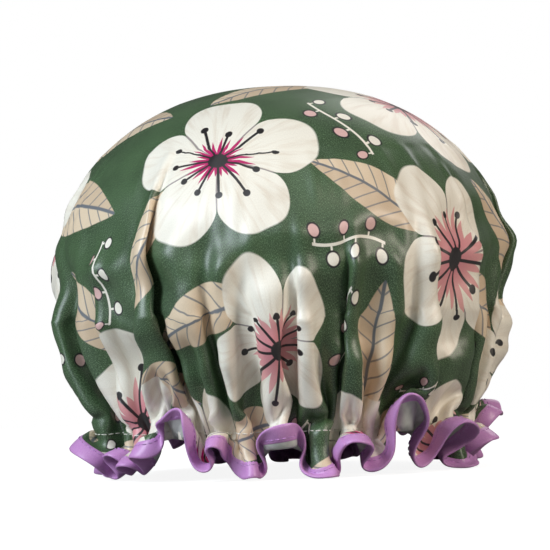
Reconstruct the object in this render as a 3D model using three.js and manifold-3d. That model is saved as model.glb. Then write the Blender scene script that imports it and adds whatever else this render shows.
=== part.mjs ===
// A printed satin shower cap, puffed out as it is when worn. A satin shell and a waterproof lining are cut as
// two equal discs, drawn in together on an elastic band, and closed along the hem by a folded binding tape.
// Below the elastic the two layers run on as a ruffled frill, and the cap stands on the lobes of that frill.
// Millimetres, +Z up. The origin is on the floor under the middle of the cap, and the front faces -Y.
import * as THREE from "three";
import { mergeVertices } from "three/addons/utils/BufferGeometryUtils.js";
import Module from "manifold-3d";

const wasm = await Module();
wasm.setup();

// The crown, measured from the gather line, where the elastic draws the cloth in
const crownRadius = 123; // middle of the cap to its widest side
const crownHeight = 180; // gather line to the top
const widestHeight = 65; // gather line to the widest level
const crownFullness = 2.2; // exponent of the crown's curve over the widest level, where 2 is an ellipse

// The folds that the gathers send up into the crown
const throatRadius = 91; // inner crests of the pleats at the gather line, an adult head's girth
const pleatDepth = 8; // how far the pleats reach out from the throat at the gather line
const foldDepth = 11; // the crown's folds where they are deepest
const foldPeakHeight = 28; // gather line to that level
const foldTopHeight = 120; // gather line to the level where the folds have run out

// The frill below the gather line
const gatherHeight = 26; // floor to the gather line
const ruffleCount = 16; // ruffles round the hem, one for each fold of the crown
const ruffleReach = 25; // how far the ruffles reach out from the throat at the hem
const ruffleVariety = 0.2; // how much more and less than that they reach in turn round the cap, as a share
const ruffleCurl = 3; // how far the sides of a ruffle lean over its hollows at the hem
const ruffleDrift = 0.045; // how unevenly the ruffles are spaced round the cap, in radians
const hemLift = 6; // how much higher the hem hangs in the hollows than at the lobes

// Cloth, film, tape and thread
const satinThickness = 0.5;
const liningThickness = 0.4;
const bindingWidth = 10; // folded tape, hem to its upper edge
const bindingThickness = 0.7;
const elasticWidth = 7;
const elasticThickness = 0.8;
const elasticLap = 16; // length over which the elastic's two ends lie on each other
const threadThickness = 0.8;
const seamMargin = 1.6; // upper edge of the binding to its row of stitching
const tackWidth = 9; // bar tack over the elastic's lap, along the band
const tackHeight = 4;
const tackStrokes = 6;
const layerGap = 0.3; // clear space between two layers that lie on each other
const footCut = 0.5; // how much is taken off the lobes where they stand on the floor

const neckRadius = throatRadius + pleatDepth;
const hemClearance = layerGap + bindingThickness - footCut;
const liningOffset = -layerGap - liningThickness;
const bindingOuter = satinThickness + layerGap;
const bindingInner = liningOffset - layerGap;
const stepsPerRuffle = 6;
const hemSteps = ruffleCount * stepsPerRuffle;
const elasticSteps = 96;
const slopeStep = 1e-3; // a short way along the cloth, for finding which way it faces

const { lerp, smoothstep } = THREE.MathUtils;

// How far round its own ruffle a direction lies, in radians: 0 on a lobe, PI in a hollow.
function ruffleAngle(angle) {
  return ruffleCount * (angle + ruffleDrift * Math.sin(2 * angle));
}

// 1 on a lobe and 0 in a hollow.
function lobe(angle) {
  return (1 + Math.cos(ruffleAngle(angle))) / 2;
}

function foldDepthAt(height) {
  if (height < foldPeakHeight) return lerp(pleatDepth, foldDepth, smoothstep(height, 0, foldPeakHeight));
  return foldDepth * (1 - smoothstep(height, foldPeakHeight, foldTopHeight));
}

// A level of the crown, from 1 at the top through 0 at the widest level to -1 at the gather line,
// as the silhouette's radius and its height over the gather line.
function crownProfile(level) {
  if (level < 0) {
    const radius = crownRadius - (crownRadius - neckRadius) * level * level;
    return { radius, height: widestHeight * (1 + level) };
  }
  const turn = (level * Math.PI) / 2;
  return {
    radius: crownRadius * Math.max(0, Math.cos(turn)) ** (2 / crownFullness),
    height: widestHeight + (crownHeight - widestHeight) * Math.sin(turn) ** (2 / crownFullness),
  };
}

function around(radius, angle, height) {
  return new THREE.Vector3(radius * Math.cos(angle), radius * Math.sin(angle), height);
}

// A point of the crown's cloth. The folds run inwards, so their crests keep the silhouette.
function crownPoint(level, angle) {
  const { radius, height } = crownProfile(level);
  return around(radius - foldDepthAt(height) * (1 - lobe(angle)), angle, height);
}

function hemHeight(angle) {
  return hemClearance - gatherHeight + hemLift * (1 - lobe(angle));
}

// A point of the frill's cloth at a share of the way down from the gather line to the hem.
function frillPoint(share, angle) {
  const hemReach = ruffleReach * (1 + ruffleVariety * Math.sin(3 * angle));
  const reach = lerp(pleatDepth, hemReach, share) * lobe(angle);
  const curl = (share * ruffleCurl * Math.sin(2 * ruffleAngle(angle))) / throatRadius;
  return around(throatRadius + reach, angle + curl, share * hemHeight(angle));
}

// The share of the way down at which the binding's upper edge lies.
function bindingShare(angle) {
  const hem = hemHeight(angle);
  return (hem + bindingWidth) / hem;
}

// The outward normal of the crown's cloth.
function crownNormal(level, angle) {
  const round = crownPoint(level, angle + slopeStep).sub(crownPoint(level, angle - slopeStep));
  const up = crownPoint(level + slopeStep, angle).sub(crownPoint(level - slopeStep, angle));
  return round.cross(up).normalize();
}

// Rings of the cloth, as points with normals. A ring has as many steps as its folds need.
function clothRing(steps, place) {
  return Array.from({ length: steps }, (_, i) => place((2 * Math.PI * i) / steps));
}

function crownRing(level, steps) {
  return clothRing(steps, (angle) => ({
    point: crownPoint(level, angle),
    normal: crownNormal(level, angle),
  }));
}

// Layers of the frill are set off level, so that the binding's foot stays flat.
function frillRing(shareAt) {
  return clothRing(hemSteps, (angle) => {
    const share = shareAt(angle);
    const round = frillPoint(share, angle + slopeStep).sub(frillPoint(share, angle - slopeStep));
    return { point: frillPoint(share, angle), normal: new THREE.Vector3(round.y, -round.x, 0).normalize() };
  });
}

const top = crownPoint(1, 0);
const bindingRing = frillRing(bindingShare);
const hemRing = frillRing(() => 1);
const gatherRing = frillRing(() => 0);

// Rings from the top to the hem. The smooth upper crown has fewer steps than the folds below.
const clothRings = [
  crownRing(0.92, Math.round(hemSteps / 8)),
  crownRing(0.8, Math.round(hemSteps / 4)),
  crownRing(0.62, Math.round(hemSteps / 2)),
  crownRing(0.45, Math.round(hemSteps / 2)),
  crownRing(0.25, Math.round(hemSteps / 2)),
  crownRing(0.05, Math.round(hemSteps / 2)),
  crownRing(-0.2, Math.round(hemSteps / 2)),
  crownRing(-0.6, hemSteps),
  gatherRing,
  bindingRing,
  hemRing,
];

// A mesh in the making: points, and triangles that name them by number.
class Skin {
  constructor() {
    this.points = [];
    this.triangles = [];
  }

  add(points) {
    const first = this.points.length;
    this.points.push(...points);
    return points.map((_, i) => first + i);
  }

  // Joins two closed rings that start in the same direction, the second one below or behind the first.
  // Where both rings have their next point in one direction, the shorter diagonal is taken, so that layers
  // which lie on each other are parted alike.
  bridge(upper, lower) {
    const span = (i, j) => this.points[i].distanceTo(this.points[j]);
    let [i, j] = [0, 0];
    while (i < upper.length || j < lower.length) {
      const [a, nextA] = [upper[i % upper.length], upper[(i + 1) % upper.length]];
      const [b, nextB] = [lower[j % lower.length], lower[(j + 1) % lower.length]];
      const lead = (i + 1) * lower.length - (j + 1) * upper.length;
      if (lead < 0 || (lead === 0 && span(nextA, b) < span(a, nextB))) {
        this.triangles.push(a, b, nextA);
        i++;
      } else {
        this.triangles.push(a, b, nextB);
        j++;
      }
    }
  }

  cap(ring, tip) {
    ring.forEach((a, i) => this.triangles.push(tip, a, ring[(i + 1) % ring.length]));
  }

  geometry() {
    const made = new THREE.BufferGeometry().setFromPoints(this.points).setIndex(this.triangles);
    made.computeVertexNormals();
    return made;
  }
}

const offset = ({ point, normal }, distance) => point.clone().addScaledVector(normal, distance);

// A layer of the cap between two distances from the cloth's own surface, open at the mouth.
function layer(outer, inner) {
  const skin = new Skin();
  const sides = [outer, inner].map((distance) => {
    const rings = clothRings.map((ring) => skin.add(ring.map((place) => offset(place, distance))));
    const [tip] = skin.add([top.clone().setZ(top.z + distance)]);
    return { rings, tip };
  });
  const [outside, inside] = sides;
  skin.cap(outside.rings[0], outside.tip);
  outside.rings.slice(1).forEach((ring, i) => skin.bridge(outside.rings[i], ring));
  skin.bridge(outside.rings.at(-1), inside.rings.at(-1));
  const facing = skin.triangles.length;
  skin.cap(inside.rings[0], inside.tip);
  inside.rings.slice(1).forEach((ring, i) => skin.bridge(inside.rings[i], ring));
  for (let i = facing; i < skin.triangles.length; i += 3) {
    [skin.triangles[i], skin.triangles[i + 1]] = [skin.triangles[i + 1], skin.triangles[i]];
  }
  return skin.geometry();
}

// A section carried along a path: each entry of sections is one ring of points. A closed path joins its last
// ring to its first, and an open one is capped with the first point of each end.
function sweep(sections, closed) {
  const skin = new Skin();
  const rings = sections.map((section) => skin.add(section));
  rings.slice(1).forEach((ring, i) => skin.bridge(rings[i], ring));
  if (closed) {
    skin.bridge(rings.at(-1), rings[0]);
    return skin.geometry();
  }
  const [first, last] = [rings[0], rings.at(-1)];
  for (let k = 1; k + 1 < first.length; k++) {
    skin.triangles.push(first[0], first[k], first[k + 1], last[0], last[k + 1], last[k]);
  }
  return skin.geometry();
}

function solidOf(geometry) {
  const bare = geometry.clone();
  bare.deleteAttribute("normal");
  bare.deleteAttribute("uv");
  const merged = mergeVertices(bare);
  return new wasm.Manifold(
    new wasm.Mesh({
      numProp: 3,
      vertProperties: merged.attributes.position.array,
      triVerts: new Uint32Array(merged.index.array),
    }),
  );
}

function geometryOf(solid) {
  const mesh = solid.getMesh();
  const made = new THREE.BufferGeometry();
  made.setAttribute("position", new THREE.BufferAttribute(mesh.vertProperties, 3));
  made.setIndex(new THREE.BufferAttribute(mesh.triVerts, 1));
  made.computeVertexNormals();
  return made;
}

// Takes off what reaches below the floor.
function cutAtFloor(geometry) {
  const size = 4 * crownRadius;
  const ground = new THREE.BoxGeometry(size, size, size).translate(0, 0, -gatherHeight - size / 2);
  return geometryOf(solidOf(geometry).subtract(solidOf(ground)));
}

// The tape is folded round the hem of both layers: an outer leg, a fold underneath and an inner leg.
function bindingGeometry() {
  const down = (point, distance) => point.setZ(point.z - distance);
  const sections = hemRing.map((hem, i) => {
    const upper = bindingRing[i];
    const outerFace = bindingOuter + bindingThickness;
    const innerFace = bindingInner - bindingThickness;
    const slot = layerGap;
    const foot = layerGap + bindingThickness;
    return [
      offset(upper, outerFace),
      offset(upper, bindingOuter),
      down(offset(hem, bindingOuter), slot),
      down(offset(hem, bindingInner), slot),
      offset(upper, bindingInner),
      offset(upper, innerFace),
      down(offset(hem, innerFace), foot),
      down(offset(hem, outerFace), foot),
    ];
  });
  return cutAtFloor(sweep(sections, true));
}

// A thread laid along a row of points, with a four-sided section set off from the row by a distance.
function threadGeometry(row, distance) {
  const half = threadThickness / 2;
  const middle = distance + layerGap + half;
  const sections = row.map((place) => {
    const centre = offset(place, middle);
    const out = place.normal.clone().multiplyScalar(half);
    const up = new THREE.Vector3(0, 0, half);
    return [
      centre.clone().add(out),
      centre.clone().add(up),
      centre.clone().sub(out),
      centre.clone().sub(up),
    ];
  });
  return sweep(sections, true);
}

// The binding's stitching runs a little under the tape's upper edge.
function seamRow() {
  const share = seamMargin / bindingWidth;
  return bindingRing.map((upper, i) => ({
    point: upper.point.clone().lerp(hemRing[i].point, share),
    normal: upper.normal.clone().lerp(hemRing[i].normal, share).normalize(),
  }));
}

const elasticRadius = throatRadius + liningOffset - layerGap - elasticThickness / 2;
const lapStep = elasticThickness + layerGap; // how far the tail lies inside the start of the band
const lapAngle = elasticLap / elasticRadius;
const lapDirection = Math.PI / 2; // at the back of the cap

// A flat band round the throat that touches the lining's inner crests. Its tail slips inside its start.
function elasticGeometry() {
  const whole = 2 * Math.PI + lapAngle;
  const sections = Array.from({ length: elasticSteps + 1 }, (_, i) => {
    const along = (whole * i) / elasticSteps;
    const angle = lapDirection - lapAngle / 2 + along;
    const radius = elasticRadius - lapStep * smoothstep(along, 2 * Math.PI - lapAngle, 2 * Math.PI);
    const [inner, outer] = [radius - elasticThickness / 2, radius + elasticThickness / 2];
    return [
      around(outer, angle, elasticWidth / 2),
      around(inner, angle, elasticWidth / 2),
      around(inner, angle, -elasticWidth / 2),
      around(outer, angle, -elasticWidth / 2),
    ];
  });
  return sweep(sections, false);
}

// A zigzag of thread, drawn flat and given the thread's thickness. Its strokes are steep, so that a band as
// tall as two threads is about one thread across.
function tackGeometry() {
  const rise = tackHeight / 2 - threadThickness;
  const turns = Array.from({ length: tackStrokes + 1 }, (_, i) => ({
    x: (i / tackStrokes - 0.5) * tackWidth,
    y: i % 2 ? rise : -rise,
  }));
  const upper = turns.map(({ x, y }) => new THREE.Vector2(x, y + threadThickness));
  const lower = turns.map(({ x, y }) => new THREE.Vector2(x, y - threadThickness));
  const outline = new THREE.Shape([...lower, ...upper.reverse()]);
  return new THREE.ExtrudeGeometry(outline, { depth: threadThickness, bevelEnabled: false });
}

function part(name, geometry, material) {
  const mesh = new THREE.Mesh(geometry, material);
  mesh.name = name;
  return mesh;
}

const finish = (color, roughness) => new THREE.MeshStandardMaterial({ color, roughness, metalness: 0 });
const printedSatin = finish("#3c5238", 0.38);
const clearFilm = finish("#c9ccc9", 0.3);
const lilacTape = finish("#c183cc", 0.42);
const lilacThread = finish("#d7a6de", 0.6);
const whiteThread = finish("#eceae3", 0.65);
const knittedElastic = finish("#efeeea", 0.85);

// The bar tack lies flat on the inside of the lap, facing the middle of the cap.
const elasticTack = part("elastic_tack", tackGeometry(), whiteThread);
elasticTack.rotation.set(Math.PI / 2, 0, 0);
elasticTack.position.set(0, elasticRadius - lapStep - elasticThickness / 2 - layerGap, 0);

const gathering = new THREE.Group();
gathering.add(
  part("elastic_band", elasticGeometry(), knittedElastic),
  elasticTack,
  part("gather_stitching", threadGeometry(gatherRing, satinThickness), whiteThread),
);

const hem = new THREE.Group();
hem.add(
  part("edge_binding", bindingGeometry(), lilacTape),
  part("binding_stitching", threadGeometry(seamRow(), bindingOuter + bindingThickness), lilacThread),
);

const cap = new THREE.Group();
cap.add(
  part("outer_shell", layer(satinThickness, 0), printedSatin),
  part("waterproof_lining", layer(-layerGap, liningOffset), clearFilm),
  gathering,
  hem,
);
cap.position.z = gatherHeight;

const showerCap = new THREE.Group();
showerCap.add(cap);

export default showerCap;
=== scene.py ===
import math

import bmesh
import bpy
import numpy as np
from mathutils import Matrix, Vector, noise


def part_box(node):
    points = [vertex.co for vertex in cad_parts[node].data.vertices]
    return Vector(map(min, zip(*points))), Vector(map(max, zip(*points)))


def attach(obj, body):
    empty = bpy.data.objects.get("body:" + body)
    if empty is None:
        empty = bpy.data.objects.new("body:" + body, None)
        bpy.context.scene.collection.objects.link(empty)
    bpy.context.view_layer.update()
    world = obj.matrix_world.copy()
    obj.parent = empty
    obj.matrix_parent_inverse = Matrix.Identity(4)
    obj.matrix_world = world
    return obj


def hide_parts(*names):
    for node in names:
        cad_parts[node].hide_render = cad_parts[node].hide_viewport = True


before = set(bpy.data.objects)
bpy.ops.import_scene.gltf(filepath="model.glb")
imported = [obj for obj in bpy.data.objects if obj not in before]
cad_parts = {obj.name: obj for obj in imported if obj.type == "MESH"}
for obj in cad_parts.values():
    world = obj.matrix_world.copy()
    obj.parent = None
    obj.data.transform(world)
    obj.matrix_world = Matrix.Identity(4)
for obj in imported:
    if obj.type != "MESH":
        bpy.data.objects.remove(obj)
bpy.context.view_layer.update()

TAU = 2 * math.pi
MM = 0.001

# Sizes in metres: the elastic's are read from the solids, and the crown's curve follows the photograph

elastic_low, elastic_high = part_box("elastic_band")
ELASTIC_RADIUS = elastic_high.x
GATHER_HEIGHT = 26.2 * MM
CROWN_RADIUS = 122 * MM
CROWN_HEIGHT = 180 * MM
WIDEST_HEIGHT = 65 * MM
CROWN_FULLNESS = 2.2
PLEAT_REACH = 7.5 * MM
NECK_RADIUS = 98.1 * MM
FRILL_FLARE = -0.4
SATIN_THICKNESS = 0.35 * MM
LINING_THICKNESS = 0.3 * MM
BINDING_THICKNESS = 1.7 * MM

# The cut disc: rings of points from its middle to the hem. The elastic is sewn along two of them
RINGS = 55
NECK_RING = 50
GATHER_RINGS = (NECK_RING, NECK_RING + 1)
SPOKES = 384
FOLD_RING = 36  # rings beyond this one have all the spokes, those inside it half as many, and so on
SLACK = 1.05
BINDING_RINGS = 4


def smooth(t):
    """Eases from 0 to 1 as t does."""
    t = np.clip(t, 0, 1)
    return t * t * (3 - 2 * t)


# The crown's profile from its top to the gather line, as radius and height over arc length

def crown_profile():
    t = np.linspace(math.pi / 2, 0, 400)
    v = np.linspace(0, 1, 200)[1:]
    top_radius = CROWN_RADIUS * np.cos(t).clip(0) ** (2 / CROWN_FULLNESS)
    top_height = WIDEST_HEIGHT + (CROWN_HEIGHT - WIDEST_HEIGHT) * np.sin(t) ** (2 / CROWN_FULLNESS)
    top_radius[0] = 0
    radius = np.concatenate([top_radius, CROWN_RADIUS - (CROWN_RADIUS - NECK_RADIUS) * v ** 2])
    height = np.concatenate([top_height, WIDEST_HEIGHT * (1 - v)])
    arc = np.concatenate([[0], np.cumsum(np.hypot(np.diff(radius), np.diff(height)))])
    return arc, radius, height


arc, profile_radius, profile_height = crown_profile()
radius_rate, height_rate = np.gradient(profile_radius, arc), np.gradient(profile_height, arc)
NECK_REACH = arc[-1] * SLACK
CUT_RADIUS = NECK_REACH * RINGS / NECK_RING


def as_mesh(bm, name):
    """Ends a bmesh as a mesh."""
    mesh = bpy.data.meshes.new(name)
    bm.to_mesh(mesh)
    bm.free()
    return mesh


def ordered_mesh(bm, name):
    """Ends a bmesh as a mesh with its edges, faces and corners in the order of their points.

    Operators leave them in an order that changes from run to run, and the solver's sums would follow it.
    """
    bm.verts.index_update()
    places = [v.co.copy() for v in bm.verts]
    edges = sorted(sorted(v.index for v in edge.verts) for edge in bm.edges)
    faces = []
    for face in bm.faces:
        corners = [v.index for v in face.verts]
        first = corners.index(min(corners))
        faces.append(corners[first:] + corners[:first])
    bm.clear()
    verts = [bm.verts.new(place) for place in places]
    for pair in edges:
        bm.edges.new([verts[i] for i in pair])
    for corners in sorted(faces):
        bm.faces.new([verts[i] for i in corners])
    return as_mesh(bm, name)


def rows(items, name, width, kind=float):
    """One property of all of a mesh's items, a row for each."""
    found = np.empty(len(items) * width, kind)
    items.foreach_get(name, found)
    return found.reshape(-1, width)


def cut_disc():
    """The flat cloth: its mesh, its points, and the ring and direction of each."""
    bm = bmesh.new()
    doublings = [FOLD_RING >> i for i in range(6)]
    bmesh.ops.create_circle(bm, cap_ends=True, cap_tris=True, segments=SPOKES >> len(doublings), radius=1)
    for k in range(2, RINGS + 1):
        grown = bmesh.ops.extrude_edge_only(bm, edges=[e for e in bm.edges if e.is_boundary])["geom"]
        if k - 1 in doublings:
            rim = [e for e in grown if isinstance(e, bmesh.types.BMEdge) and e.is_boundary]
            bmesh.ops.subdivide_edges(bm, edges=rim, cuts=1, use_single_edge=True)
        for v in bm.verts:
            if v.is_boundary:
                v.co *= k / v.co.length
    bmesh.ops.scale(bm, vec=[CUT_RADIUS / RINGS] * 3, verts=bm.verts)
    bmesh.ops.recalc_face_normals(bm, faces=bm.faces)
    mesh = ordered_mesh(bm, "cut_disc")
    flat = rows(mesh.vertices, "co", 3)
    ring = np.rint(np.hypot(flat[:, 0], flat[:, 1]) / CUT_RADIUS * RINGS).astype(int)
    return mesh, flat, ring, np.mod(np.arctan2(flat[:, 1], flat[:, 0]), TAU)


def in_order(ring, angle, k):
    """The points of ring k, in order round the disc."""
    found = np.nonzero(ring == k)[0]
    return found[np.argsort(angle[found])]


# The gathering, at ten times the size because the solver's limits suit that better

SOLVER_SCALE = 10
PLEATS = 36
PLEAT_VARIETY = 0.6
PLEAT_SEED = 21
DRAW_FRAMES = 50
SETTLE_FRAMES = 26
EASE_FRAMES = 8
STAGES = 16
START_GAP = 3 * MM
START_WAVES = 8 * MM
START_PLEATS_RING = int(0.6 * RINGS) + 1
MOST_BEND = 2.2  # of a pleat, in radians
FORM_STEPS, FORM_END = 60, 0.985  # the form's points, and the share of the arc that it covers
FORM_GAP = 1.2 * MM
FOLD_ROOM = 22 * MM
FOLD_ROOM_HEIGHT = 0.125
DRUM_GAP = 0.4 * MM
CLOTH_GAP = 0.012  # between layers of cloth, in the solver's scale
# Shares of the solver's bending range: at the gather, what the crown has more, and at the tape
GATHER_BENDING, CROWN_BENDING, TAPE_BENDING, TAPE_EDGE_BENDING = 0.03, 0.27, 0.25, 0.15
CROWN_BENDING_RAMP = 0.03
FIRM_REACH, FIRM_RAMP = 0.17, 0.04
PUSH_OUT, SLACKEN = 0.3, -0.12  # pressures

pleat_widths = 1 + PLEAT_VARIETY * np.random.default_rng(PLEAT_SEED).uniform(-1, 1, PLEATS)
pleat_edges = np.concatenate([[0], np.cumsum(pleat_widths / pleat_widths.sum())]) * TAU


def pleated(angles, length, radius):
    """Points of a ring of this cloth length, laid in pleats along a circle of this radius."""
    count, step = len(angles), length / len(angles)
    middle = np.mod(angles + math.pi / count, TAU)
    pleat = np.clip(np.searchsorted(pleat_edges, middle, side="right") - 1, 0, PLEATS - 1)
    along = (middle - pleat_edges[pleat]) / np.diff(pleat_edges)[pleat]
    # The bend of the pleats that brings the ring's length down to the circle's, found by halving
    swing, low, high = np.sin(TAU * along), 0.0, MOST_BEND
    for _ in range(40):
        bend = (low + high) / 2
        if np.cos(bend * swing).sum() * step > TAU * radius:
            low = bend
        else:
            high = bend
    ahead, aside = np.cos(low * swing) * step, np.sin(low * swing) * step
    ahead *= TAU * radius / ahead.sum()
    aside -= aside.mean()
    place = np.concatenate([[0], np.cumsum(ahead)[:-1]]) / radius
    depth = np.concatenate([[0], np.cumsum(aside)[:-1]])
    depth -= (depth.max() + depth.min()) / 2
    depth = PLEAT_REACH * np.tanh(depth / PLEAT_REACH)
    place += np.mean(angles - place)
    return np.stack([np.cos(place), np.sin(place)], 1) * (radius + depth)[:, None]


def draw_in(points, ring, angle, share):
    """Moves the gather rings down the form; the cloth beyond its contact is straight and taut."""
    contact = share * arc[-1]
    free = arc[-1] - contact
    out, rise = np.interp(contact, arc, radius_rate), np.interp(contact, arc, height_rate)
    for k in GATHER_RINGS:
        beyond = (k - NECK_RING) * CUT_RADIUS / RINGS
        reach = CUT_RADIUS * k / RINGS
        radius = np.interp(contact, arc, profile_radius) + out * free
        radius += beyond * (out * (1 - share) + FRILL_FLARE * share)
        height = np.interp(contact, arc, profile_height) + rise * free
        height += beyond * (rise * (1 - share) - share)
        loop = in_order(ring, angle, k)
        points[loop, :2] = pleated(angle[loop], TAU * reach, min(radius, reach * 0.999))
        points[loop, 2] = GATHER_HEIGHT + height


def laid_on_top(flat, ring, angle):
    """The disc as it lies on top of the form at the start, with low waves towards its hem."""
    reach = np.hypot(flat[:, 0], flat[:, 1]) / SLACK
    # Six broad waves, unevenly spaced, with nineteen small ones over them
    waves = np.sin(6 * angle + 1.3 + 0.8 * np.sin(2 * angle)) + 0.5 * np.sin(19 * angle + 0.4)
    waves *= START_WAVES * np.clip((reach / arc[-1] - 0.35) / 0.6, 0, 1)
    start = np.column_stack([np.cos(angle) * reach, np.sin(angle) * reach,
                             GATHER_HEIGHT + CROWN_HEIGHT + START_GAP + waves])
    for k in range(START_PLEATS_RING, RINGS + 1):
        loop = in_order(ring, angle, k)
        start[loop, :2] = pleated(angle[loop], TAU * CUT_RADIUS * k / RINGS, reach[loop[0]])
    draw_in(start, ring, angle, 0)
    return start


def stuffed_form():
    """A lathed form that leaves room for folds low down, over a drum where the elastic sits."""
    bm = bmesh.new()
    lathe = []
    for c in np.linspace(0, arc[-1] * FORM_END, FORM_STEPS):
        radius, height = np.interp(c, arc, profile_radius), np.interp(c, arc, profile_height)
        inset = FORM_GAP * min(1, radius / 0.03) + FOLD_ROOM * smooth(1 - height / FOLD_ROOM_HEIGHT)
        drop = FORM_GAP * max(0, 1 - radius / CROWN_RADIUS)
        drum = max(radius - inset, ELASTIC_RADIUS - DRUM_GAP)
        lathe.append((min(radius, drum), height + GATHER_HEIGHT - drop))
    lathe[0] = (0, lathe[0][1])
    lathe.append((lathe[-1][0], elastic_low.z))
    line = [bm.verts.new((r * SOLVER_SCALE, 0, z * SOLVER_SCALE)) for r, z in lathe]
    edges = [bm.edges.new(pair) for pair in zip(line, line[1:])]
    bmesh.ops.spin(bm, geom=line + edges, cent=(0, 0, 0), axis=(0, 0, 1), angle=TAU, steps=72,
                   use_merge=True, use_duplicate=False)
    bmesh.ops.remove_doubles(bm, verts=bm.verts, dist=1e-4)
    bmesh.ops.recalc_face_normals(bm, faces=bm.faces)
    return ordered_mesh(bm, "form")


def table_top():
    bm = bmesh.new()
    bmesh.ops.create_grid(bm, x_segments=1, y_segments=1, size=4)
    return as_mesh(bm, "table")


def weigh_rings(cloth, ring):
    """The crown resists bending most, the cloth at the gather least; the tape stiffens the hem again.

    Near the top the weave gives a little, so that the folds begin half way down.
    """
    ring_number = np.arange(RINGS + 1)
    above_neck = (NECK_RING - ring_number) * CUT_RADIUS / RINGS
    bending = GATHER_BENDING + CROWN_BENDING * np.clip(above_neck / CROWN_BENDING_RAMP, 0, 1)
    bending[RINGS - 2] = TAPE_EDGE_BENDING
    bending[RINGS - 1:] = TAPE_BENDING
    firmness = smooth((ring_number * CUT_RADIUS / RINGS - FIRM_REACH) / FIRM_RAMP)
    held = np.isin(ring_number, GATHER_RINGS).astype(float)
    for name, weights in (("bending", bending), ("firmness", firmness), ("held", held)):
        group = cloth.vertex_groups.new(name=name)
        for k in range(RINGS + 1):
            if weights[k] > 0:
                group.add([int(i) for i in np.nonzero(ring == k)[0]], float(weights[k]), "ADD")


def gather_cloth(mesh, flat, ring, angle):
    """The points of the flat disc after its elastic has drawn it in round a stuffed form."""
    start = laid_on_top(flat, ring, angle)
    mesh.vertices.foreach_set("co", (start * SOLVER_SCALE).ravel())
    cloth = bpy.data.objects.new("cloth", mesh)
    bpy.context.collection.objects.link(cloth)
    cloth.shape_key_add(name="start")
    cut = cloth.shape_key_add(name="cut")
    cut.data.foreach_set("co", (flat * SOLVER_SCALE).ravel())
    cut.value = 0
    times = [1 + DRAW_FRAMES * i / STAGES for i in range(STAGES + 1)]
    for i in range(1, STAGES + 1):
        stage = cloth.shape_key_add(name=f"drawn_{i}", from_mix=False)
        moved = start.copy()
        draw_in(moved, ring, angle, i / STAGES)
        stage.data.foreach_set("co", (moved * SOLVER_SCALE).ravel())
        after = times[min(i + 1, STAGES)]
        for time, value in ((times[i - 1], 0), (times[i], 1), (after, float(i == STAGES))):
            stage.value = value
            stage.keyframe_insert("value", frame=time)
    action = mesh.shape_keys.animation_data.action
    for curve in action.fcurves:
        for key in curve.keyframe_points:
            key.interpolation = "LINEAR"

    rigid = [bpy.data.objects.new("form", stuffed_form()), bpy.data.objects.new("table", table_top())]
    for thing in rigid:
        bpy.context.collection.objects.link(thing)
        thing.modifiers.new("Collision", "COLLISION")
        thing.collision.thickness_outer = 0.01
        thing.collision.cloth_friction = 5

    weigh_rings(cloth, ring)
    solver = cloth.modifiers.new("Cloth", "CLOTH")
    for name, value in dict(
            quality=6, mass=0.3, air_damping=1,
            tension_stiffness=30, tension_stiffness_max=30, tension_damping=10,
            compression_stiffness=0.15, compression_stiffness_max=8, compression_damping=10,
            shear_stiffness=0.15, shear_stiffness_max=3, shear_damping=10,
            bending_model="ANGULAR", bending_stiffness=0.5, bending_stiffness_max=16, bending_damping=2,
            vertex_group_bending="bending", vertex_group_structural_stiffness="firmness",
            vertex_group_shear_stiffness="firmness", vertex_group_mass="held", pin_stiffness=1,
            rest_shape_key=cut, use_pressure=True).items():
        setattr(solver.settings, name, value)
    for name, value in dict(
            use_collision=True, distance_min=CLOTH_GAP, collision_quality=2,
            use_self_collision=True, self_distance_min=CLOTH_GAP, self_friction=3).items():
        setattr(solver.collision_settings, name, value)
    # The stuffing pushes outwards while the cloth is drawn in, and then the cloth slackens
    for number, force in ((DRAW_FRAMES, PUSH_OUT), (DRAW_FRAMES + EASE_FRAMES, SLACKEN)):
        solver.settings.uniform_pressure_force = force
        solver.settings.keyframe_insert("uniform_pressure_force", frame=number)
    # A key on the solver itself makes each frame's cloth wait for its pressure, so that runs don't differ
    solver.keyframe_insert("show_viewport", frame=1)
    last = DRAW_FRAMES + SETTLE_FRAMES
    solver.point_cache.frame_end = last
    for number in range(1, last + 1):
        bpy.context.scene.frame_set(number)
    result = cloth.evaluated_get(bpy.context.evaluated_depsgraph_get()).to_mesh()
    points = rows(result.vertices, "co", 3)
    bpy.context.scene.frame_set(1)
    for thing in (cloth, *rigid):
        old = thing.data
        bpy.data.objects.remove(thing)
        bpy.data.meshes.remove(old)
    bpy.data.actions.remove(action)
    return points / SOLVER_SCALE


EVENING_STEPS, EVENING_RATE = 60, 0.6
EVEN_REACH, EVEN_RAMP = 0.235, 0.04


def even_out(mesh, points, share):
    """Slides points along the cloth to the middle of their neighbours, so that the print runs smoothly."""
    edges = rows(mesh.edges, "vertices", 2, int)
    here, there = np.concatenate([edges, edges[:, ::-1]]).T
    neighbours = np.bincount(here)[:, None]
    for _ in range(EVENING_STEPS):
        mesh.vertices.foreach_set("co", points.ravel())
        mesh.update()
        out = rows(mesh.vertex_normals, "vector", 3)
        slide = np.stack([np.bincount(here, points[there, k]) for k in range(3)], 1) / neighbours - points
        slide -= (slide * out).sum(1, keepdims=True) * out
        points = points + EVENING_RATE * share[:, None] * slide
    return points


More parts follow.
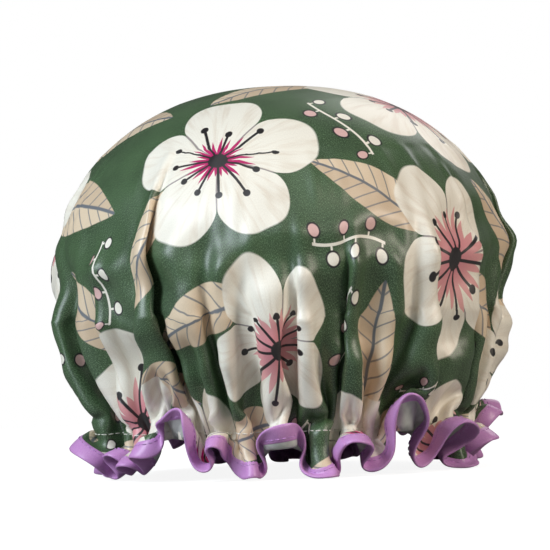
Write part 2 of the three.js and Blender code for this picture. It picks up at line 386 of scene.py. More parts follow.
RIDGE_HEIGHT, RIDGE_REACH = 0.112, 5 * MM
RIDGE_ABOVE, RIDGE_BELOW = 0.030, 0.007  # how far the ridge runs out
WANDER_HEIGHT, WANDER_WIDTH = 0.022, 0.08  # of the ridge, up and down and round the cap
WANDER_SLICE = 3.7  # a place in the noise
DENT_WIDTH, DENT_HEIGHT, DENT_DEPTH = 0.045, 0.026, 13 * MM
SLUMP_FOOT, SLUMP_FOOT_RAMP = 0.032, 0.03
SLUMP_TOP, SLUMP_TOP_RAMP = 0.165, 0.05


def slumped(points):
    """The lower crown sags into soft dents below a slack ridge.

    Space itself is shifted, so that neighbouring folds keep apart.
    """
    x, y, z = points.T
    dents = [noise.noise((a / DENT_WIDTH, b / DENT_WIDTH, c / DENT_HEIGHT)) for a, b, c in points]
    wander = [noise.noise((a / WANDER_WIDTH, b / WANDER_WIDTH, WANDER_SLICE)) for a, b, _ in points]
    dents, wander = np.array(dents), np.array(wander)
    level = z - RIDGE_HEIGHT - WANDER_HEIGHT * wander
    ridge = np.where(level > 0, smooth(1 - level / RIDGE_ABOVE), smooth(1 + level / RIDGE_BELOW)) - 0.3
    shift = RIDGE_REACH * (0.6 + wander) * ridge - DENT_DEPTH * (np.abs(dents) - 0.2)
    shift *= smooth((z - SLUMP_FOOT) / SLUMP_FOOT_RAMP) * smooth((SLUMP_TOP - z) / SLUMP_TOP_RAMP)
    shift /= np.hypot(x, y).clip(0.05)
    return points + shift[:, None] * points * (1, 1, 0)


def piece(name, mesh, node, material):
    """A finished piece at the origin that rides on the cap's one body and stands for its CAD node."""
    obj = bpy.data.objects.new(name, mesh)
    bpy.context.collection.objects.link(obj)
    mesh.materials.append(material)
    for face in mesh.polygons:
        face.use_smooth = True
    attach(obj, "root")
    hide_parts(node)
    return obj


def linear(code):
    """An sRGB hex value as the linear colour that a socket takes."""
    parts = [int(code[i:i + 2], 16) / 255 for i in (0, 2, 4)]
    return [c / 12.92 if c <= 0.04045 else ((c + 0.055) / 1.055) ** 2.4 for c in parts] + [1]


def add(tree, kind, *feeds, **settings):
    """A node with these settings; each feed, a value, node or socket, goes to the next open input."""
    node = tree.nodes.new(kind)
    for name, value in settings.items():
        setattr(node, name, value)
    for socket, feed in zip([s for s in node.inputs if s.enabled], feeds):
        if isinstance(feed, bpy.types.Node):
            feed = next(s for s in feed.outputs if s.enabled)
        if isinstance(feed, bpy.types.NodeSocket):
            tree.links.new(feed, socket)
        elif feed is not None:
            socket.default_value = feed
    return node


def wire(tree, shader, **sources):
    """Links nodes to the shader's sockets, whose names have _ for a space here."""
    for name, node in sources.items():
        tree.links.new(next(s for s in node.outputs if s.enabled), shader.inputs[name.replace("_", " ")])


MATH, MIX, RANGE, SPLIT = "ShaderNodeMath", "ShaderNodeMix", "ShaderNodeMapRange", "ShaderNodeSeparateXYZ"
NOISE, UV = "ShaderNodeTexNoise", "ShaderNodeUVMap"


def new_material(name, roughness, specular=0.5, sheen=0.0, sheen_roughness=0.4):
    material = bpy.data.materials.new(name)
    material.use_nodes = True
    shader = material.node_tree.nodes["Principled BSDF"]
    shader.inputs["Roughness"].default_value = roughness
    shader.inputs["Specular IOR Level"].default_value = specular
    shader.inputs["Sheen Weight"].default_value = sheen
    shader.inputs["Sheen Roughness"].default_value = sheen_roughness
    return material, material.node_tree, shader


# The print: a plain scatter of blossoms, leaves and berry sprigs without a repeat, drawn on the flat cut

BLOSSOM_BREADTH, LEAF_BREADTH, SPRIG_BREADTH = 1.0, 0.40, 0.42
LAYOUT_SEED, TONE_SEED = 21, 4
BLOSSOM_TRIES, LEAF_TRIES, SPRIG_TRIES = 6000, 6, 5000  # the leaves' are for each blossom
STROKES, FILAMENTS = 22, 11


def local(points, motif):
    """Points of the cut in a motif's own coordinates, in which its half length is 1."""
    x, y, size, turn = motif
    dx, dy = points[..., 0] - x, points[..., 1] - y
    return np.stack([dx * math.cos(turn) + dy * math.sin(turn),
                     dy * math.cos(turn) - dx * math.sin(turn)], -1) / size


def farness(points, motif, breadth):
    """How far points are from a motif's middle; it is 1 on the rim of its ellipse."""
    at = local(points, motif)
    return np.hypot(at[..., 0], at[..., 1] / breadth)


def lay_out_print():
    """Scatters the motifs over the cut; leaves tuck in beside blossoms, and sprigs take the gaps.

    A motif is its centre, size and turn, and its own ellipse is its size by its layer's breadth.
    """
    rng = np.random.default_rng(LAYOUT_SEED)
    rim = np.linspace(0, TAU, 32, endpoint=False)

    def outline(motif, breadth, margin):
        x, y, size, turn = motif
        u, v = np.cos(rim) * size * margin, np.sin(rim) * size * margin * breadth
        return np.stack([x + u * math.cos(turn) - v * math.sin(turn),
                         y + u * math.sin(turn) + v * math.cos(turn)], -1)

    def anywhere():
        reach, way = CUT_RADIUS * math.sqrt(rng.uniform()), rng.uniform(0, TAU)
        return reach * math.cos(way), reach * math.sin(way)

    def clear(motif, breadth, others, other_breadth, margin=1.06):
        edge = outline(motif, breadth, margin)
        return all(farness(edge, m, other_breadth).min() > margin for m in others)

    blossoms, leaves, sprigs = [], [], []
    for _ in range(BLOSSOM_TRIES):
        motif = (*anywhere(), rng.uniform(54, 66) * MM, rng.uniform(0, TAU))
        if all(math.dist(motif[:2], m[:2]) > motif[2] + m[2] for m in blossoms):
            blossoms.append(motif)
    for x, y, size, _ in blossoms * LEAF_TRIES:
        way = rng.uniform(0, TAU)
        reach = size + rng.uniform(10, 20) * MM
        motif = (x + reach * math.cos(way), y + reach * math.sin(way),
                 rng.uniform(38, 48) * MM, way + rng.uniform(-0.5, 0.5))
        free = all(math.dist(motif[:2], m[:2]) > 0.95 * m[2] for m in blossoms)
        if free and clear(motif, LEAF_BREADTH, leaves, LEAF_BREADTH):
            leaves.append(motif)
    for _ in range(SPRIG_TRIES):
        motif = (*anywhere(), rng.uniform(24, 32) * MM, rng.uniform(0, TAU))
        if (clear(motif, SPRIG_BREADTH, blossoms, BLOSSOM_BREADTH, 0.96)
                and clear(motif, SPRIG_BREADTH, leaves, LEAF_BREADTH, 1.0)
                and clear(motif, SPRIG_BREADTH, sprigs, SPRIG_BREADTH)):
            sprigs.append(motif)
    return (("blossom", blossoms, BLOSSOM_BREADTH), ("leaf", leaves, LEAF_BREADTH),
            ("sprig", sprigs, SPRIG_BREADTH))


def print_maps(mesh):
    """Gives every face, per layer, the coordinates of the motif nearest to it, from the map of the cut."""
    corners = rows(mesh.uv_layers["cut"].uv, "vector", 2).reshape(-1, 4, 2)
    middles = corners.mean(1)
    for name, motifs, breadth in lay_out_print():
        nearest = np.argmin([farness(middles, m, breadth) for m in motifs], axis=0)
        at = np.empty_like(corners)
        for k, motif in enumerate(motifs):
            at[nearest == k] = local(corners[nearest == k], motif)
        mesh.uv_layers.new(name=name).uv.foreach_set("vector", at.ravel())
        if name == "blossom":
            tones = np.random.default_rng(TONE_SEED).permutation(np.arange(len(motifs)) % 2).astype(float)
            mesh.attributes.new("tone", "FLOAT", "FACE").data.foreach_set("value", tones[nearest])


GROUND_GREEN, GROUND_DEEP, GROUND_GLINT = "3a5334", "2a3f26", "86a67d"
PETAL_CREAM, PETAL_SHADE, PETAL_LINE = "f6f0e2", "e6dac8", "8c8080"
HEART_ROSE, HEART_MAGENTA, CHARCOAL = "e6a8a6", "bd1466", "232022"
LEAF_TAN, LEAF_SHADE, LEAF_VEIN = "e6d0b3", "d3ba9d", "72767c"
BERRY_PINK = "e3b9b4"


def blossom_layer(tree):
    """Five broad notched petals round a heart of filaments; returns the layer's colour and mask."""
    where = add(tree, UV, uv_map="blossom")
    wobble = add(tree, NOISE, where, 1.1, 0.0, noise_dimensions="2D")
    axis = add(tree, SPLIT, where)
    length = add(tree, "ShaderNodeVectorMath", where, operation="LENGTH")
    stretch = add(tree, RANGE, wobble, 0.3, 0.7, 0.95, 1.05)
    r = add(tree, MATH, length, stretch, operation="MULTIPLY")
    a = add(tree, MATH, axis.outputs["Y"], axis.outputs["X"], operation="ARCTAN2")
    half_turns = add(tree, MATH, a, 2.5, operation="MULTIPLY")
    lobe = add(tree, MATH, add(tree, MATH, half_turns, operation="COSINE"), operation="ABSOLUTE")
    round_lobe = add(tree, MATH, lobe, 0.6, operation="POWER")
    notch = add(tree, MATH, lobe, 9.0, operation="POWER")
    rim = add(tree, MATH, round_lobe, 0.46, 0.56, operation="MULTIPLY_ADD")
    rim = add(tree, MATH, notch, -0.06, rim, operation="MULTIPLY_ADD")
    share = add(tree, MATH, r, rim, operation="DIVIDE")
    mask = add(tree, RANGE, share, 0.995, 0.975, 0.0, 1.0)

    fan = add(tree, "ShaderNodeCombineXYZ", add(tree, MATH, a, 6.0, operation="MULTIPLY"),
              add(tree, MATH, r, 1.3, operation="MULTIPLY"))
    streak = add(tree, NOISE, fan, 1.6, 3.0, noise_dimensions="2D")
    streaked = add(tree, RANGE, streak, 0.48, 0.72, 0.0, 0.75)
    colour = add(tree, MIX, streaked, linear(PETAL_CREAM), linear(PETAL_SHADE), data_type="RGBA")
    beside = add(tree, MATH, lobe, r, operation="MULTIPLY")
    crease = add(tree, RANGE, beside, 0.030, 0.012, 0.0, 0.9)
    colour = add(tree, MIX, crease, colour, linear(PETAL_LINE), data_type="RGBA")

    # The heart ends in pointed brush strokes of uneven length, short and rosy or long and magenta
    tone = add(tree, "ShaderNodeAttribute", attribute_name="tone").outputs["Fac"]
    stroke = add(tree, MATH, a, STROKES / TAU, operation="MULTIPLY")
    which = add(tree, "ShaderNodeTexWhiteNoise", add(tree, MATH, stroke, operation="FLOOR"),
                noise_dimensions="1D").outputs["Value"]
    point = add(tree, MATH, add(tree, MATH, stroke, operation="FRACT"), 0.5, operation="SUBTRACT")
    point = add(tree, RANGE, add(tree, MATH, point, operation="ABSOLUTE"), 0.5, 0.0, 0.0, 1.0)
    span = add(tree, RANGE, which, 0.0, 1.0, 0.08, 0.30)
    base = add(tree, RANGE, tone, 0.0, 1.0, 0.24, 0.12)
    heart_rim = add(tree, MATH, point, span, base, operation="MULTIPLY_ADD")
    heart = add(tree, RANGE, add(tree, MATH, r, heart_rim, operation="SUBTRACT"), 0.006, -0.006, 0.0, 1.0)
    deep = add(tree, RANGE, r, 0.40, 0.10, 0.0, 0.35)
    deeper = add(tree, MATH, tone, deep, operation="MAXIMUM")
    flush = add(tree, MIX, deeper, linear(HEART_ROSE), linear(HEART_MAGENTA), data_type="RGBA")
    colour = add(tree, MIX, heart, colour, flush, data_type="RGBA")

    # Filaments of uneven length with round anthers, and a dark eye
    turns = add(tree, MATH, a, FILAMENTS / TAU, 0.5, operation="MULTIPLY_ADD")
    cell = add(tree, MATH, add(tree, MATH, turns, operation="FRACT"), 0.5, operation="SUBTRACT")
    aside = add(tree, MATH, add(tree, MATH, cell, operation="ABSOLUTE"), r, operation="MULTIPLY")
    aside = add(tree, MATH, aside, TAU / FILAMENTS, operation="MULTIPLY")
    which = add(tree, "ShaderNodeTexWhiteNoise", add(tree, MATH, turns, operation="FLOOR"),
                noise_dimensions="1D").outputs["Value"]
    reach = add(tree, RANGE, which, 0.0, 1.0, 0.38, 0.60)
    outer = add(tree, MATH, r, reach, operation="SUBTRACT")
    filament = add(tree, RANGE, aside, 0.016, 0.011, 0.0, 1.0)
    filament = add(tree, MATH, filament, add(tree, MATH, outer, 0.0, operation="LESS_THAN"),
                   operation="MULTIPLY")
    tip = add(tree, "ShaderNodeCombineXYZ", aside, outer)
    tip = add(tree, "ShaderNodeVectorMath", tip, operation="LENGTH")
    anther = add(tree, RANGE, tip, 0.040, 0.034, 0.0, 1.0)
    eye = add(tree, RANGE, r, 0.105, 0.095, 0.0, 1.0)
    ink = add(tree, MATH, add(tree, MATH, filament, anther, operation="MAXIMUM"), eye, operation="MAXIMUM")
    return add(tree, MIX, ink, colour, linear(CHARCOAL), data_type="RGBA"), mask


def leaf_layer(tree):
    """An oval leaf in two tones with a midrib and slanted veins; returns the layer's colour and mask."""
    where = add(tree, UV, uv_map="leaf")
    axis = add(tree, SPLIT, where)
    x, y = axis.outputs["X"], axis.outputs["Y"]
    across = add(tree, MATH, y, operation="ABSOLUTE")
    square = add(tree, MATH, x, x, operation="MULTIPLY")
    taper = add(tree, MATH, square, -1.0, 1.0, operation="MULTIPLY_ADD")
    taper = add(tree, MATH, add(tree, MATH, taper, 0.0, operation="MAXIMUM"), 0.8, operation="POWER")
    skew = add(tree, MATH, x, -0.10, LEAF_BREADTH * 0.9, operation="MULTIPLY_ADD")
    half_width = add(tree, MATH, taper, skew, operation="MULTIPLY")
    inside = add(tree, MATH, half_width, across, operation="SUBTRACT")
    mask = add(tree, RANGE, inside, 0.0, 0.012, 0.0, 1.0)
    side = add(tree, RANGE, y, -0.01, 0.01, 0.0, 0.8)
    colour = add(tree, MIX, side, linear(LEAF_TAN), linear(LEAF_SHADE), data_type="RGBA")
    slant = add(tree, MATH, across, -0.9, x, operation="MULTIPLY_ADD")
    slant = add(tree, MATH, add(tree, MATH, slant, 4.2, operation="MULTIPLY"), operation="FRACT")
    slant = add(tree, MATH, add(tree, MATH, slant, 0.5, operation="SUBTRACT"), operation="ABSOLUTE")
    veins = add(tree, RANGE, slant, 0.075, 0.045, 0.0, 0.8)
    midrib = add(tree, RANGE, across, 0.028, 0.016, 0.0, 1.0)
    drawn = add(tree, MATH, veins, midrib, operation="MAXIMUM")
    return add(tree, MIX, drawn, colour, linear(LEAF_VEIN), data_type="RGBA"), mask


def sprig_layer(tree):
    """A curved stem with round berries to either side; returns the layer's colour and mask."""
    where = add(tree, UV, uv_map="sprig")
    axis = add(tree, SPLIT, where)
    x, y = axis.outputs["X"], axis.outputs["Y"]
    arc_height = add(tree, MATH, add(tree, MATH, x, 2.6, operation="MULTIPLY"), operation="SINE")
    off_stem = add(tree, MATH, arc_height, -0.12, y, operation="MULTIPLY_ADD")
    near = add(tree, MATH, off_stem, operation="ABSOLUTE")
    ends = add(tree, RANGE, add(tree, MATH, x, operation="ABSOLUTE"), 0.90, 0.88, 0.0, 1.0)
    stem = add(tree, MATH, add(tree, RANGE, near, 0.034, 0.024, 0.0, 1.0), ends, operation="MULTIPLY")
    count = add(tree, MATH, x, 3.0, 3.0, operation="MULTIPLY_ADD")
    whole = add(tree, MATH, count, operation="FLOOR")
    side = add(tree, MATH, add(tree, MATH, whole, 2.0, operation="FLOORED_MODULO"), -2.0, 1.0,
               operation="MULTIPLY_ADD")
    inside_cell = add(tree, MATH, add(tree, MATH, count, operation="FRACT"), 0.5, operation="SUBTRACT")
    dx = add(tree, MATH, inside_cell, 1 / 3, operation="MULTIPLY")
    dy = add(tree, MATH, side, -0.24, off_stem, operation="MULTIPLY_ADD")
    berry = add(tree, "ShaderNodeVectorMath", add(tree, "ShaderNodeCombineXYZ", dx, dy), operation="LENGTH")
    beyond = add(tree, MATH, add(tree, MATH, x, operation="ABSOLUTE"), 1.0, operation="GREATER_THAN")
    berry = add(tree, MATH, berry, beyond, operation="ADD")
    body = add(tree, RANGE, berry, 0.150, 0.138, 0.0, 1.0)
    fill = add(tree, RANGE, berry, 0.115, 0.103, 0.0, 1.0)
    stalk_side = add(tree, RANGE, add(tree, MATH, dx, operation="ABSOLUTE"), 0.026, 0.018, 0.0, 1.0)
    towards = add(tree, MATH, off_stem, side, operation="MULTIPLY")
    stalk_reach = add(tree, MATH, add(tree, RANGE, towards, 0.0, 0.01, 0.0, 1.0),
                      add(tree, RANGE, towards, 0.2, 0.19, 0.0, 1.0), operation="MULTIPLY")
    stalk = add(tree, MATH, add(tree, MATH, stalk_side, stalk_reach, operation="MULTIPLY"), ends,
                operation="MULTIPLY")
    stem = add(tree, MATH, stem, stalk, operation="MAXIMUM")
    upper = add(tree, MATH, off_stem, 0.0, operation="GREATER_THAN")
    flesh = add(tree, MIX, upper, linear(PETAL_CREAM), linear(BERRY_PINK), data_type="RGBA")
    colour = add(tree, MIX, fill, linear(CHARCOAL), flesh, data_type="RGBA")
    bare = add(tree, MATH, stem, body, operation="SUBTRACT")
    colour = add(tree, MIX, add(tree, MATH, bare, 0.0, operation="MAXIMUM"), colour, linear(PETAL_CREAM),
                 data_type="RGBA")
    return colour, add(tree, MATH, stem, body, operation="MAXIMUM")


def printed_satin():
    # Polyester satin, warp-faced and printed: a soft broad gloss that breaks up along its fine floats.
    # Its threads lie 0.25 mm apart; the grain is drawn at 0.4 mm by 0.9 mm so that it shows
    material, tree, shader = new_material("printed_polyester_satin", 0.42, 0.75)
    shader.inputs["Anisotropic"].default_value = 0.5
    cut = add(tree, UV, uv_map="cut")
    floats = add(tree, "ShaderNodeMapping", cut, None, None, (1 / (0.4 * MM), 1 / (0.9 * MM), 1))
    grain = add(tree, NOISE, floats, 1.0, 2.0, noise_dimensions="2D")
    cloud = add(tree, NOISE, cut, 1 / (35 * MM), 2.0, noise_dimensions="2D")
    colour = add(tree, MIX, add(tree, RANGE, cloud, 0.35, 0.65, 0.0, 1.0), linear(GROUND_GREEN),
                 linear(GROUND_DEEP), data_type="RGBA")
    glint = add(tree, RANGE, grain, 0.46, 0.72, 0.0, 0.55)
    colour = add(tree, MIX, glint, colour, linear(GROUND_GLINT), data_type="RGBA")
    for layer in (leaf_layer, sprig_layer, blossom_layer):
        ink, mask = layer(tree)
        colour = add(tree, MIX, mask, colour, ink, data_type="RGBA")
    speck = add(tree, RANGE, grain, 0.3, 0.7, 0.94, 1.03)
    colour = add(tree, "ShaderNodeVectorMath", colour, speck, operation="MULTIPLY")
    gloss = add(tree, RANGE, grain, 0.3, 0.7, 0.36, 0.48)
    bump = add(tree, "ShaderNodeBump", 0.10, 0.10 * MM, None, grain)
    warp = add(tree, "ShaderNodeTangent", direction_type="UV_MAP", uv_map="cut")
    wire(tree, shader, Base_Color=colour, Roughness=gloss, Normal=bump, Tangent=warp)
    return material


def lining_film():
    # Soft EVA film, cast and matt: milky grey, a waxy gloss and small creases about 4 mm apart
    material, tree, shader = new_material("milky_eva_film", 0.4, 0.45)
    cut = add(tree, UV, uv_map="cut")
    creases = add(tree, NOISE, cut, 1 / (4 * MM), 3.0, noise_dimensions="2D")
    tint = add(tree, RANGE, creases, 0.3, 0.7, 0.0, 1.0)
    colour = add(tree, MIX, tint, linear("bfc2bd"), linear("d2d4cf"), data_type="RGBA")
    bump = add(tree, "ShaderNodeBump", 0.3, 0.5 * MM, None, creases)
    wire(tree, shader, Base_Color=colour, Normal=bump)
    return material


def lilac_tape():
    # Acetate satin bias tape, folded and pressed: its ribs run slantwise, 0.4 mm apart as drawn
    material, tree, shader = new_material("lilac_satin_tape", 0.38, 0.5, 0.15, 0.3)
    cut = add(tree, UV, uv_map="hem")
    ribs = add(tree, "ShaderNodeMapping", cut, None, (0, 0, math.radians(45)),
               (1 / (0.4 * MM), 1 / (1.6 * MM), 1))
    grain = add(tree, NOISE, ribs, 1.0, 2.0, noise_dimensions="2D")
    tint = add(tree, RANGE, grain, 0.3, 0.7, 0.0, 1.0)
    colour = add(tree, MIX, tint, linear("c78acb"), linear("d19bd3"), data_type="RGBA")
    gloss = add(tree, RANGE, grain, 0.3, 0.7, 0.32, 0.44)
    bump = add(tree, "ShaderNodeBump", 0.12, 0.10 * MM, None, grain)
    wire(tree, shader, Base_Color=colour, Roughness=gloss, Normal=bump)
    return material


def spun_thread(name, pale, dark):
    # Spun polyester thread: matt, with the twist of its plies drawn 0.5 mm apart
    material, tree, shader = new_material(name, 0.65, 0.3, 0.2, 0.5)
    place = add(tree, "ShaderNodeTexCoord").outputs["Object"]
    plies = add(tree, NOISE, place, 1 / (0.5 * MM), 1.0)
    tint = add(tree, RANGE, plies, 0.35, 0.65, 0.0, 1.0)
    colour = add(tree, MIX, tint, linear(dark), linear(pale), data_type="RGBA")
    bump = add(tree, "ShaderNodeBump", 0.4, 0.1 * MM, None, plies)
    wire(tree, shader, Base_Color=colour, Normal=bump)
    return material


def knitted_elastic():
    # Knitted polyester and rubber elastic: matt white, in ribs 0.9 mm apart that run along the band
    material, tree, shader = new_material("knitted_elastic", 0.8, 0.2, 0.25, 0.5)
    band = add(tree, UV, uv_map="band")
    axis = add(tree, SPLIT, band)
    rib = add(tree, MATH, add(tree, MATH, axis.outputs["Y"], TAU / (0.9 * MM), operation="MULTIPLY"),
              operation="SINE")
    loop = add(tree, MATH, add(tree, MATH, axis.outputs["X"], TAU / (1.1 * MM), operation="MULTIPLY"),
               operation="SINE")
    knit = add(tree, MATH, loop, 0.4, rib, operation="MULTIPLY_ADD")
    tint = add(tree, RANGE, knit, -1.2, 1.2, 0.0, 1.0)
    colour = add(tree, MIX, tint, linear("d8d6cf"), linear("f1efe9"), data_type="RGBA")
    bump = add(tree, "ShaderNodeBump", 0.6, 0.2 * MM, None, knit)
    wire(tree, shader, Base_Color=colour, Normal=bump)
    return material


# The gathered cloth, subdivided once; satin, film and tape are all laid on its points

disc, flat, ring, angle = cut_disc()
base = disc.copy()
gathered = gather_cloth(disc, flat, ring, angle)
gathered = even_out(base, gathered, smooth((EVEN_REACH - ring * CUT_RADIUS / RINGS) / EVEN_RAMP))
gathered = slumped(gathered)
gathered[:, 2] -= gathered[:, 2].min() - BINDING_THICKNESS / 2
base.vertices.foreach_set("co", gathered.ravel())
corner_points = rows(base.loops, "vertex_index", 1, int).ravel()
base.uv_layers.new(name="cut").uv.foreach_set("vector", flat[corner_points, :2].ravel())
holder = bpy.data.objects.new("holder", base)
bpy.context.collection.objects.link(holder)
finer = holder.modifiers.new("Subdivision", "SUBSURF")
finer.levels = finer.render_levels = 1
finer.uv_smooth = "NONE"
cloth_mesh = bpy.data.meshes.new_from_object(holder.evaluated_get(bpy.context.evaluated_depsgraph_get()))
bpy.data.objects.remove(holder)
cloth_points = rows(cloth_mesh.vertices, "co", 3)
if cloth_mesh.vertices[int(np.argmax(cloth_points[:, 2]))].normal.z < 0:
    cloth_mesh.flip_normals()
corner_points = rows(cloth_mesh.loops, "vertex_index", 1, int).ravel()
cut_points = np.empty((len(cloth_mesh.vertices), 2))
cut_points[corner_points] = rows(cloth_mesh.uv_layers["cut"].uv, "vector", 2)
cloth_normals = rows(cloth_mesh.vertex_normals, "vector", 3)
FINE_RINGS = 2 * RINGS
fine_ring = np.rint(np.hypot(*cut_points.T) / CUT_RADIUS * FINE_RINGS).astype(int)
fine_angle = np.mod(np.arctan2(cut_points[:, 1], cut_points[:, 0]), TAU)


def laid_on_cloth(name, thickness, side, node, material):
    """The gathered cloth with this thickness, outside (1) or inside (-1) its surface.

    Its last ring is left out, so that it ends within the tape.
    """
    bm = bmesh.new()
    bm.from_mesh(cloth_mesh)
    bm.verts.ensure_lookup_table()
    last = np.nonzero(fine_ring == FINE_RINGS)[0]
    bmesh.ops.delete(bm, geom=[bm.verts[i] for i in last], context="VERTS")
    mesh = as_mesh(bm, name)
    if side > 0:
        print_maps(mesh)
    obj = piece(name, mesh, node, material)
    wall = obj.modifiers.new("Thickness", "SOLIDIFY")
    wall.thickness, wall.offset = thickness, side
    return obj


outer_shell = laid_on_cloth("satin_disc", SATIN_THICKNESS, 1, "outer_shell",
                            printed_satin())
waterproof_lining = laid_on_cloth("film_disc", LINING_THICKNESS, -1, "waterproof_lining",
                                  lining_film())


# The tape folded round the hem, with a lapped join at the front right

TAPE_JOIN, TAPE_JOIN_HALF = -74, 1.3  # degrees round the hem
TAPE_LAP_RISE = 0.55 * MM
TAPE_SEAM, TAPE_EDGE = 0.55, 0.8  # weights of the tape's thickness along its seam and its upper edge
TAPE_LEAST = 0.3  # share of its thickness for no weight


def edge_binding_mesh():
    bm = bmesh.new()
    bm.from_mesh(cloth_mesh)
    bm.verts.ensure_lookup_table()
    first = FINE_RINGS - BINDING_RINGS
    bmesh.ops.delete(bm, geom=[bm.verts[i] for i in np.nonzero(fine_ring < first)[0]], context="VERTS")
    hem = bm.loops.layers.uv.new("hem")
    cut = bm.loops.layers.uv["cut"]
    groove = bm.verts.layers.deform.verify()
    for face in bm.faces:
        turns = [math.atan2(loop[cut].uv.y, loop[cut].uv.x) for loop in face.loops]
        for loop, turn in zip(face.loops, turns):
            if max(turns) - min(turns) > math.pi and turn < 0:
                turn += TAU
            reach = loop[cut].uv.length
            loop[hem].uv = (turn * CUT_RADIUS, reach)
            step = round(reach / CUT_RADIUS * FINE_RINGS) - first
            loop.vert[groove][0] = TAPE_SEAM if step == 1 else TAPE_EDGE if step == 0 else 1.0
    middles = {face: math.degrees(math.atan2(sum(l[cut].uv.y for l in face.loops),
                                             sum(l[cut].uv.x for l in face.loops))) for face in bm.faces}
    over = [face for face, turn in middles.items() if abs(turn - TAPE_JOIN) < TAPE_JOIN_HALF]
    lap = bmesh.ops.duplicate(bm, geom=over)
    raised = [v for v in lap["geom"] if isinstance(v, bmesh.types.BMVert)]
    for v in raised:
        v.co += v.normal * TAPE_LAP_RISE
    return as_mesh(bm, "edge_binding")


edge_binding = piece("hem_tape", edge_binding_mesh(), "edge_binding", lilac_tape())
edge_binding.vertex_groups.new(name="groove")
tape = edge_binding.modifiers.new("Thickness", "SOLIDIFY")
tape.thickness, tape.offset = BINDING_THICKNESS, 0
tape.vertex_group, tape.thickness_vertex_group = "groove", TAPE_LEAST
rounding = edge_binding.modifiers.new("Rounding", "SUBSURF")
rounding.levels = rounding.render_levels = 1


# Thread: each stitch is a short strand that lies on the cloth and dips in at both ends

def strand_mesh():
    bm = bmesh.new()
    bmesh.ops.create_uvsphere(bm, u_segments=6, v_segments=5, radius=1,
                              matrix=Matrix.Rotation(math.pi / 2, 4, "Y"))
    return as_mesh(bm, "strand")


unit_strand = strand_mesh()


def strand(bm, start, end, normal, breadth):
    """Adds one strand from start to end, lying on a surface with this normal."""
    along = end - start
    side = normal.cross(along).normalized()
    up = along.normalized().cross(side)
    shape = Matrix((along / 2, side * breadth / 2, up * breadth / 2)).transposed().to_4x4()
    shape.translation = (start + end) / 2
    placed = unit_strand.copy()
    placed.transform(shape)
    bm.from_mesh(placed)
    bpy.data.meshes.remove(placed)


def stitch_row(bm, fine, lift, pitch, length, breadth, side=1):
    """Stitches along one fine ring of the cloth, lifted off its surface along its normals."""
    row = in_order(fine_ring, fine_angle, fine)
    row = np.append(row, row[0])
    points = cloth_points[row] + cloth_normals[row] * lift * side
    run = np.concatenate([[0], np.cumsum(np.linalg.norm(np.diff(points, axis=0), axis=1))])
    count = int(run[-1] / pitch)
    for begin in np.arange(count) * run[-1] / count:
        at = [Vector([np.interp(begin + d, run, points[:, i]) for i in range(3)]) for d in (0, length)]
        half = begin + length / 2
        normal = Vector([np.interp(half, run, cloth_normals[row, i]) for i in range(3)]) * side
        strand(bm, at[0], at[1], normal, breadth)


def stitching(name, seams, node, material):
    bm = bmesh.new()
    for seam in seams:
        stitch_row(bm, **seam)
    return piece(name, as_mesh(bm, name), node, material)


white_thread = spun_thread("white_polyester_thread", "f6f3ea", "dcd8cc")
lilac_thread = spun_thread("lilac_polyester_thread", "d6a8de", "b47fc0")
gather_seam = dict(fine=2 * NECK_RING, lift=SATIN_THICKNESS + 0.15 * MM,
                   pitch=4.2 * MM, length=3.2 * MM, breadth=0.7 * MM)
gather_stitching = stitching("gather_stitches", [gather_seam],
                             "gather_stitching", white_thread)
# The hem's seam lies in the tape's groove and shows on both its faces
groove_floor = BINDING_THICKNESS * 0.3
hem_seam = dict(fine=FINE_RINGS - BINDING_RINGS + 1, lift=groove_floor + 0.25 * MM,
                pitch=3.4 * MM, length=2.6 * MM, breadth=0.6 * MM)
binding_stitching = stitching("hem_stitches", [hem_seam, dict(hem_seam, side=-1)],
                              "binding_stitching", lilac_thread)


# The elastic inside the neck, its ends lapped at the back and tacked with a zigzag

ELASTIC_WIDTH = elastic_high.z - elastic_low.z
ELASTIC_THICKNESS = 0.8 * MM
ELASTIC_LAP = 16 * MM
ELASTIC_RIPPLE = 0.12 * MM
ELASTIC_ROOM = 0.15 * MM
LAP_GAP = 0.1 * MM
LAP_RAMP = 0.06  # radians over which the lapped end steps in
TACK_STROKES = 6
TACK_THREAD = 0.6 * MM
TACK_MARGIN = 0.4 * MM
TACK_DEPTH = 0.25 * MM


def elastic_band_mesh():
    bm = bmesh.new()
    bmesh.ops.create_grid(bm, x_segments=240, y_segments=6, size=0.5)
    band = bm.loops.layers.uv.new("band")
    middle = ELASTIC_RADIUS - ELASTIC_THICKNESS / 2
    whole = TAU + ELASTIC_LAP / middle
    for face in bm.faces:
        for loop in face.loops:
            loop[band].uv = ((loop.vert.co.x + 0.5) * whole * middle, loop.vert.co.y * ELASTIC_WIDTH)
    for v in bm.verts:
        along = v.co.x + 0.5
        turn = math.pi / 2 - ELASTIC_LAP / middle / 2 + along * whole
        under = smooth((along * whole - TAU + LAP_RAMP) / LAP_RAMP)
        ripple = ELASTIC_RIPPLE * math.sin(along * whole * 2 * PLEATS)
        radius = middle - ripple - ELASTIC_ROOM - under * (ELASTIC_THICKNESS + LAP_GAP)
        v.co = (radius * math.cos(turn), radius * math.sin(turn),
                (elastic_low.z + elastic_high.z) / 2 + v.co.y * ELASTIC_WIDTH)
    bmesh.ops.recalc_face_normals(bm, faces=bm.faces)
    return as_mesh(bm, "elastic_band")


elastic_band = piece("neck_elastic", elastic_band_mesh(), "elastic_band",
                     knitted_elastic())
knit = elastic_band.modifiers.new("Thickness", "SOLIDIFY")
knit.thickness, knit.offset = ELASTIC_THICKNESS, 0
selvedge = elastic_band.modifiers.new("Selvedge", "BEVEL")
selvedge.width, selvedge.segments, selvedge.profile = 0.25 * MM, 2, 0.5


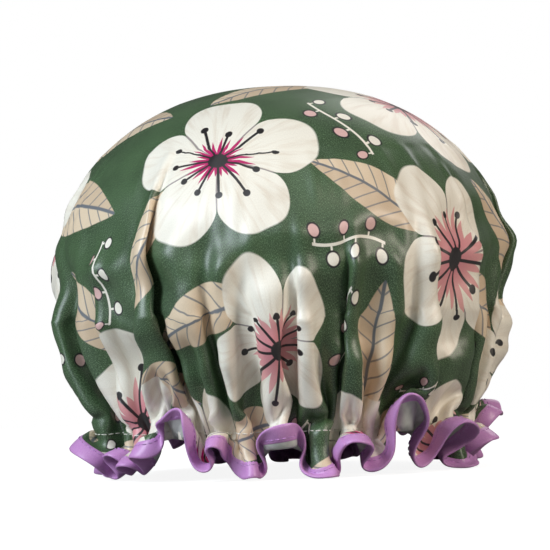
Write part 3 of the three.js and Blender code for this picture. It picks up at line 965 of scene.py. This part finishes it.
def elastic_tack_mesh():
    bm = bmesh.new()
    low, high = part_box("elastic_tack")
    y = high.y - TACK_DEPTH
    xs = np.linspace(low.x + TACK_MARGIN, high.x - TACK_MARGIN, TACK_STROKES + 1)
    zs = (low.z + TACK_MARGIN, high.z - TACK_MARGIN)
    corners = [Vector((x, y, zs[i % 2])) for i, x in enumerate(xs)]
    for start, end in zip(corners, corners[1:]):
        strand(bm, start, end, Vector((0, -1, 0)), TACK_THREAD)
    return as_mesh(bm, "elastic_tack")


piece("elastic_zigzag", elastic_tack_mesh(), "elastic_tack", white_thread)


# The stage: a pale floor, a white surround, a broad key from the upper left, a fill and a rim

def stage_floor():
    bm = bmesh.new()
    bmesh.ops.create_circle(bm, cap_ends=True, segments=128, radius=0.8)
    mesh = as_mesh(bm, "floor")
    # Opal acrylic table, finely stippled and lit from below so that it is as white as the surround
    material, tree, shader = new_material("lit_opal_acrylic", 0.9, 0.2)
    shader.inputs["Base Color"].default_value = linear("8c8c8a")
    shader.inputs["Emission Color"].default_value = linear("ffffff")
    seen = add(tree, "ShaderNodeLightPath").outputs["Is Camera Ray"]
    glow = add(tree, MATH, seen, 0.9, operation="MULTIPLY")
    place = add(tree, "ShaderNodeTexCoord").outputs["Object"]
    stipple = add(tree, NOISE, place, 1 / (2 * MM), 2.0)
    bump = add(tree, "ShaderNodeBump", 0.02, 0.05 * MM, None, stipple)
    wire(tree, shader, Emission_Strength=glow, Normal=bump)
    mesh.materials.append(material)
    floor = bpy.data.objects.new("floor", mesh)
    bpy.context.collection.objects.link(floor)


def area_light(name, place, target, size, power, tint="ffffff"):
    light = bpy.data.lights.new(name, "AREA")
    light.shape, light.size, light.energy, light.color = "DISK", size, power, linear(tint)[:3]
    lamp = bpy.data.objects.new(name, light)
    lamp.location = place
    lamp.rotation_mode = "QUATERNION"
    lamp.rotation_quaternion = (Vector(target) - Vector(place)).to_track_quat("-Z", "Y")
    bpy.context.collection.objects.link(lamp)


stage_floor()
middle_of_cap = (0, 0, 0.1)
area_light("key", (-1.2, -0.9, 0.9), middle_of_cap, 1.0, 27, "ebf6ff")
area_light("fill", (1.4, -0.9, 0.8), middle_of_cap, 0.7, 16, "fff3e4")
area_light("rim", (0.6, 1.1, 1.0), middle_of_cap, 0.8, 4)
overhead = bpy.data.objects.new("overhead", bpy.data.lights.new("overhead", "SUN"))
overhead.data.energy, overhead.data.angle = 0.45, math.radians(50)
overhead.rotation_euler = (math.radians(20), math.radians(-14), 0)
bpy.context.collection.objects.link(overhead)
world = bpy.data.worlds.new("surround")
world.use_nodes = True
surround = world.node_tree
dim = surround.nodes["Background"]
dim.inputs["Color"].default_value = linear("ffffff")
dim.inputs["Strength"].default_value = 0.07
bright = add(surround, "ShaderNodeBackground", linear("ffffff"), 1.0)
seen = add(surround, "ShaderNodeLightPath").outputs["Is Camera Ray"]
choice = add(surround, "ShaderNodeMixShader", seen, dim, bright)
surround.links.new(choice.outputs["Shader"], surround.nodes["World Output"].inputs["Surface"])
bpy.context.scene.world = world

# The camera stands level with the front, a little above, far off, and rolled as the photograph is

CAMERA_DISTANCE = 3.2
CAMERA_ELEVATION = math.radians(0.7)
CAMERA_ROLL = math.radians(2.2)
FRAME_WIDTH = 0.2945
SENSOR_WIDTH = 36
camera = bpy.data.objects.new("camera", bpy.data.cameras.new("camera"))
bpy.context.collection.objects.link(camera)
camera.data.sensor_width = SENSOR_WIDTH
camera.data.lens = SENSOR_WIDTH * CAMERA_DISTANCE / FRAME_WIDTH
aim = Vector((-0.004, 0, 0.1055))
back = Vector((0, -math.cos(CAMERA_ELEVATION), math.sin(CAMERA_ELEVATION)))
camera.location = aim + back * CAMERA_DISTANCE
camera.rotation_mode = "QUATERNION"
camera.rotation_quaternion = ((-back).to_track_quat("-Z", "Y")
                              @ Matrix.Rotation(-CAMERA_ROLL, 3, "Z").to_quaternion())
camera.data.clip_end = 50
bpy.context.scene.camera = camera
bpy.context.scene.view_settings.view_transform = "Standard"
